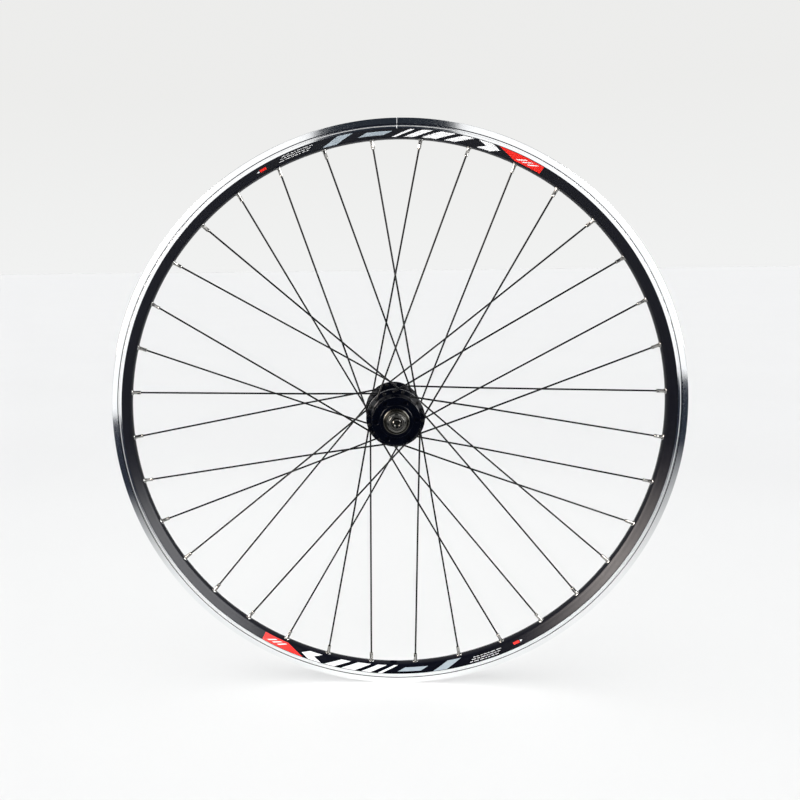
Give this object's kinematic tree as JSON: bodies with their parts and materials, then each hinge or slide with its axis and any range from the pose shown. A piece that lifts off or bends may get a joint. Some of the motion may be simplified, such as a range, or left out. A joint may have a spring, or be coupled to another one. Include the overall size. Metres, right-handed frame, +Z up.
{
  "type": "bicycle wheel",
  "caption": "Front bicycle wheel with a double-wall rim, crossed wire spokes and a disc-brake hub that turns on a hollow quick-release axle.",
  "frame": {"origin": "centre of the wheel: on the axle's line, in the rim's mid-plane, half-way between the locknut faces", "axes": "+Y along the axle from the brake-disc side (left) to the right, +Z up, +X to the right as seen from the disc side; the valve hole is at -Z"},
  "size_m": [0.635, 0.108, 0.635],
  "materials": {
    "rim_black": "satin black anodised aluminium",
    "machined_track": "bare aluminium, machined in fine circles",
    "joint_sleeve": "plain extruded aluminium",
    "spoke_black": "black coated stainless wire",
    "nipple_silver": "nickel-plated brass",
    "eyelet_steel": "rolled stainless eyelet",
    "hub_black": "gloss black anodised, turned aluminium",
    "cap_steel": "olive-grey pressed steel",
    "axle_steel": "zinc-plated and turned steel",
    "bearing_steel": "ground bearing steel",
    "decal_film": "clear-coated black film",
    "decal_red": "printed red",
    "decal_white": "printed white",
    "decal_grey": "printed blue-grey"
  },
  "bodies": {
    "axle_set": {"axle": "axle_steel", "left_cone": "axle_steel", "right_cone": "axle_steel", "left_lock_washer": "axle_steel", "right_lock_washer": "axle_steel", "left_locknut": "axle_steel", "right_locknut": "axle_steel"},
    "wheel": {"rim": "rim_black", "rim_joint_sleeve": "joint_sleeve", "left_upper_decal": "decal_film", "left_lower_decal": "decal_film", "right_upper_decal": "decal_film", "right_lower_decal": "decal_film", "spoke_01": "spoke_black", "spoke_02": "spoke_black", "spoke_03": "spoke_black", "spoke_04": "spoke_black", "spoke_05": "spoke_black", "spoke_06": "spoke_black", "spoke_07": "spoke_black", "spoke_08": "spoke_black", "spoke_09": "spoke_black", "spoke_10": "spoke_black", "spoke_11": "spoke_black", "spoke_12": "spoke_black", "spoke_13": "spoke_black", "spoke_14": "spoke_black", "spoke_15": "spoke_black", "spoke_16": "spoke_black", "spoke_17": "spoke_black", "spoke_18": "spoke_black", "spoke_19": "spoke_black", "spoke_20": "spoke_black", "spoke_21": "spoke_black", "spoke_22": "spoke_black", "spoke_23": "spoke_black", "spoke_24": "spoke_black", "spoke_25": "spoke_black", "spoke_26": "spoke_black", "spoke_27": "spoke_black", "spoke_28": "spoke_black", "spoke_29": "spoke_black", "spoke_30": "spoke_black", "spoke_31": "spoke_black", "spoke_32": "spoke_black", "spoke_33": "spoke_black", "spoke_34": "spoke_black", "spoke_35": "spoke_black", "spoke_36": "spoke_black", "hub_shell": "hub_black", "left_bearing_cup": "bearing_steel", "right_bearing_cup": "bearing_steel", "left_dust_cap": "cap_steel", "right_dust_cap": "cap_steel"},
    "left_balls": {"left_ball_ring": "bearing_steel"},
    "right_balls": {"right_ball_ring": "bearing_steel"}
  },
  "joints": [
    {"name": "wheel_spin", "type": "hinge", "parent": "axle_set", "child": "wheel", "pos_m": [0, 0, 0], "axis": [0, 1, 0], "continuous": true},
    {"name": "left_ball_roll", "type": "hinge", "parent": "axle_set", "child": "left_balls", "pos_m": [0, -0.0333, 0], "axis": [0, 1, 0], "continuous": true},
    {"name": "right_ball_roll", "type": "hinge", "parent": "axle_set", "child": "right_balls", "pos_m": [0, 0.0333, 0], "axis": [0, 1, 0], "continuous": true}
  ],
  "couplings": [
    {"joint": "left_ball_roll", "follows": "wheel_spin", "ratio": 0.595},
    {"joint": "right_ball_roll", "follows": "wheel_spin", "ratio": 0.595}
  ]
}
